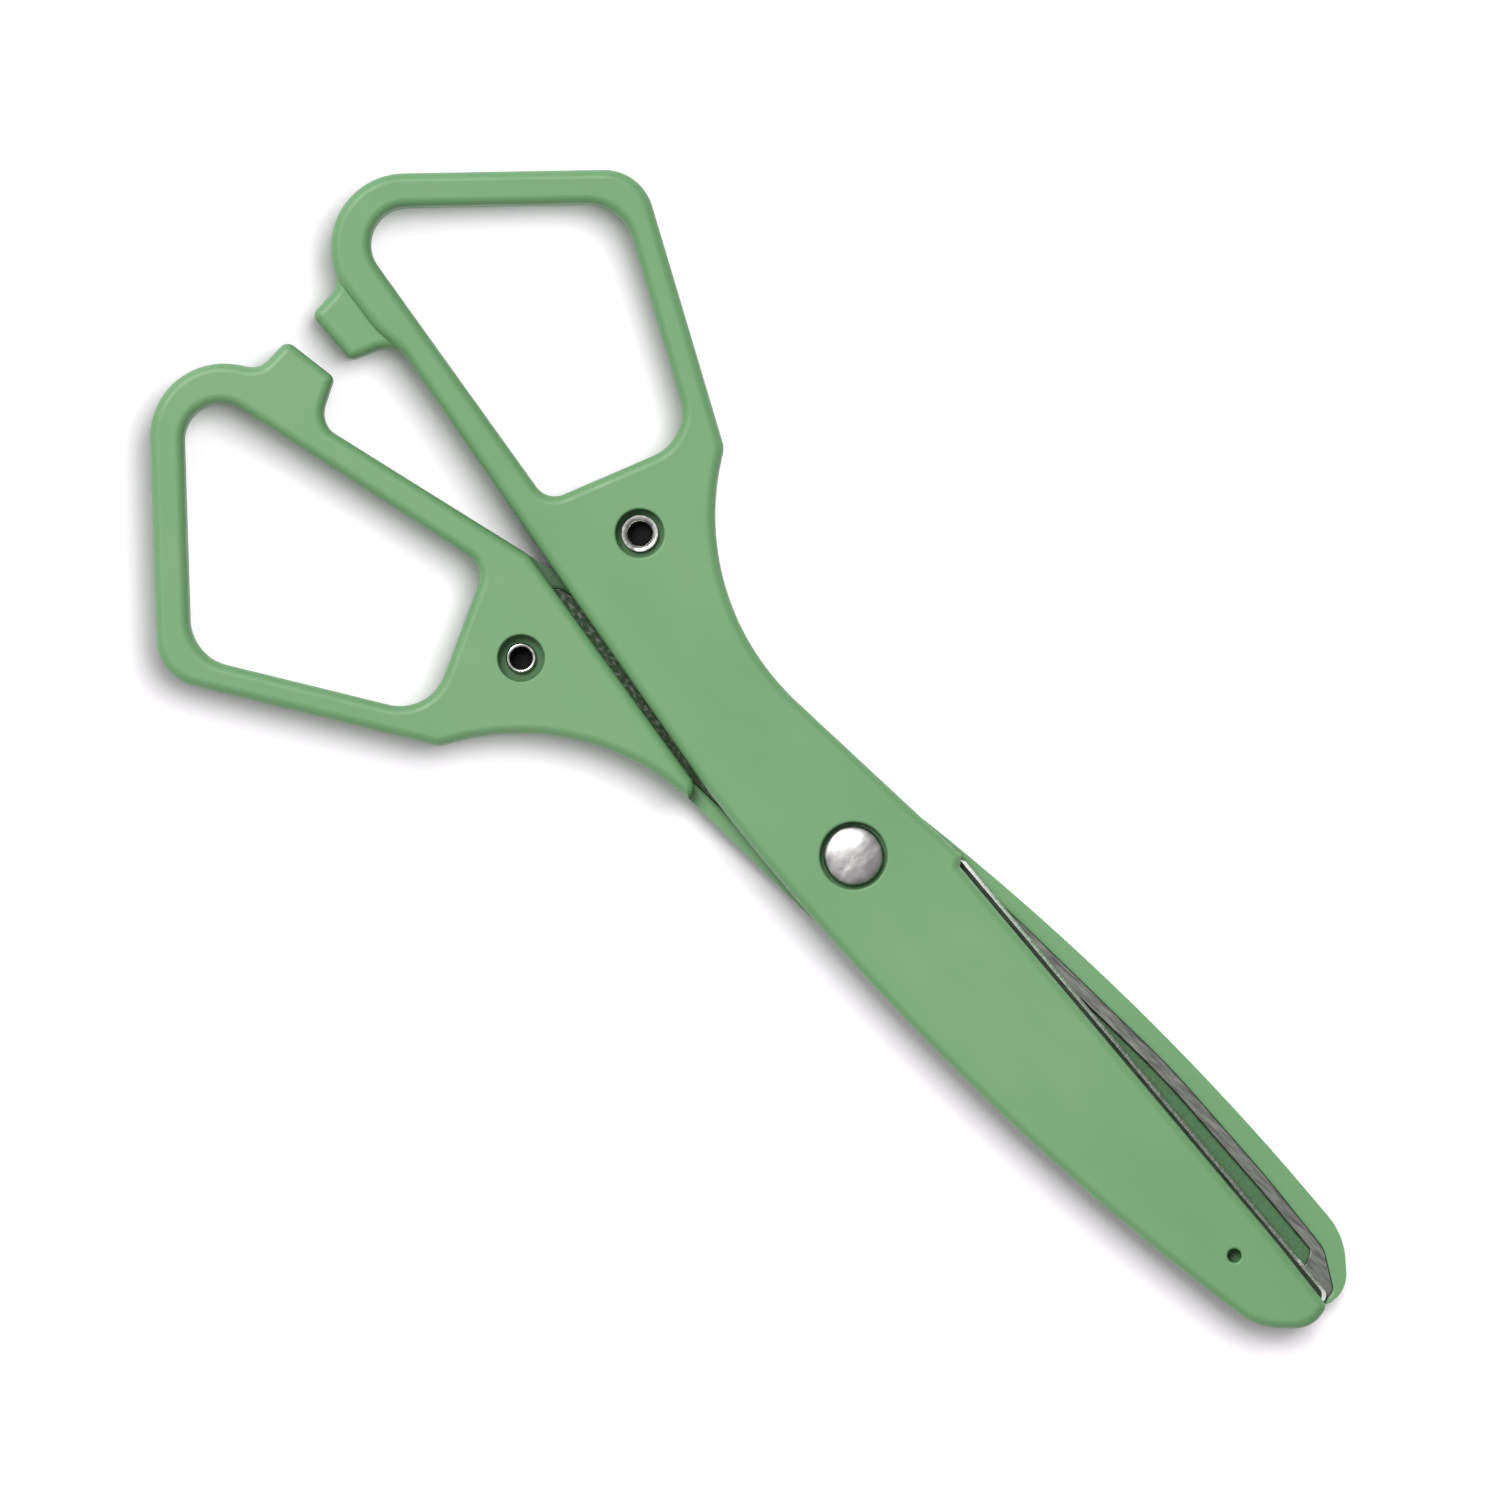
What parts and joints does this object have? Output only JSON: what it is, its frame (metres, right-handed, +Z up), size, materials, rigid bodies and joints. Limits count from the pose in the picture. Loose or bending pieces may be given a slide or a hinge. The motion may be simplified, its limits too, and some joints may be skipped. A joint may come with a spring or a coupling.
{
  "type": "safety scissors",
  "caption": "Small straight-edge safety scissors: green plastic finger loops and blade backs, slim steel blades, domed pivot rivet and hollow eyelets, opening about the rivet.",
  "frame": {"origin": "middle of the footprint on the surface that the scissors lie on", "axes": "+Y along the scissors towards the blade tips, +Z up through the front face, +X to the right seen from the front face; the pivot is at y 7.70 mm"},
  "size_m": [0.064, 0.1396, 0.0062],
  "materials": {
    "green_plastic": "satin moulded plastic",
    "blade_steel": "ground",
    "eyelet_nickel": "plated",
    "polished_steel": "polished"
  },
  "bodies": {
    "rear": {"rear_half": "green_plastic", "rear_blade": "blade_steel", "rear_eyelet": "eyelet_nickel", "pivot_rivet": "polished_steel", "pivot_rivet_cap": "polished_steel"},
    "front": {"front_half": "green_plastic", "front_blade": "blade_steel", "front_eyelet": "eyelet_nickel"}
  },
  "joints": [
    {"name": "pivot", "type": "hinge", "parent": "rear", "child": "front", "pos_m": [0, 0.0077, 0.0031], "axis": [0, 0, -1], "range_deg": [-1.4, 120]}
  ]
}
